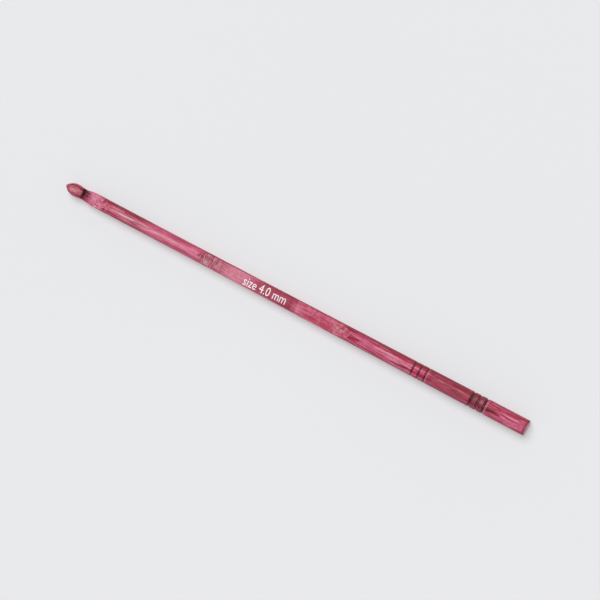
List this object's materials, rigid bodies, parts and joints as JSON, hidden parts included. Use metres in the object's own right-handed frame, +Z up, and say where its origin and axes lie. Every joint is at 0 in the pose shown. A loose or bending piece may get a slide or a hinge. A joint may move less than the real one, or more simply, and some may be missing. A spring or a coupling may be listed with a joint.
{
  "type": "crochet hook",
  "caption": "Slim laminated wood crochet hook with an ogive head, a milled throat, a flat thumb rest, turned lines and beads, and a plain butt.",
  "frame": {"origin": "on the table plane, under the middle of the hook's box", "axes": "+X from the tip to the butt, along the hook; +Z up, out of the mouth of the hook and the thumb rest"},
  "size_m": [0.1524, 0.0046, 0.0045],
  "materials": {
    "crimson_veneer": "deep crimson dyed birch veneer under clear satin lacquer",
    "magenta_veneer": "magenta dyed birch veneer under clear satin lacquer",
    "rose_veneer": "rose dyed birch veneer, lacquered on the shaft and bare in the milled thumb rest",
    "pink_veneer": "pale pink dyed birch veneer under clear satin lacquer",
    "white_ink": "white pad-printed size mark"
  },
  "bodies": {
    "root": {"ply_01_rest_end": "crimson_veneer", "ply_01_band": "crimson_veneer", "ply_01_butt_tongue": "crimson_veneer", "ply_02_gauge": "magenta_veneer", "ply_02_butt": "magenta_veneer", "ply_03_head": "rose_veneer", "ply_03_gauge": "rose_veneer", "ply_03_butt": "rose_veneer", "ply_04_head": "crimson_veneer", "ply_04_shaft": "crimson_veneer", "ply_05_head": "pink_veneer", "ply_05_shaft": "pink_veneer", "ply_06": "crimson_veneer", "ply_07": "rose_veneer", "ply_08": "magenta_veneer", "ply_09": "pink_veneer", "ply_10_head": "crimson_veneer", "ply_10_shaft": "crimson_veneer", "ply_10_bead": "crimson_veneer", "ply_10_butt": "crimson_veneer", "ply_11": "rose_veneer"}
  },
  "joints": []
}
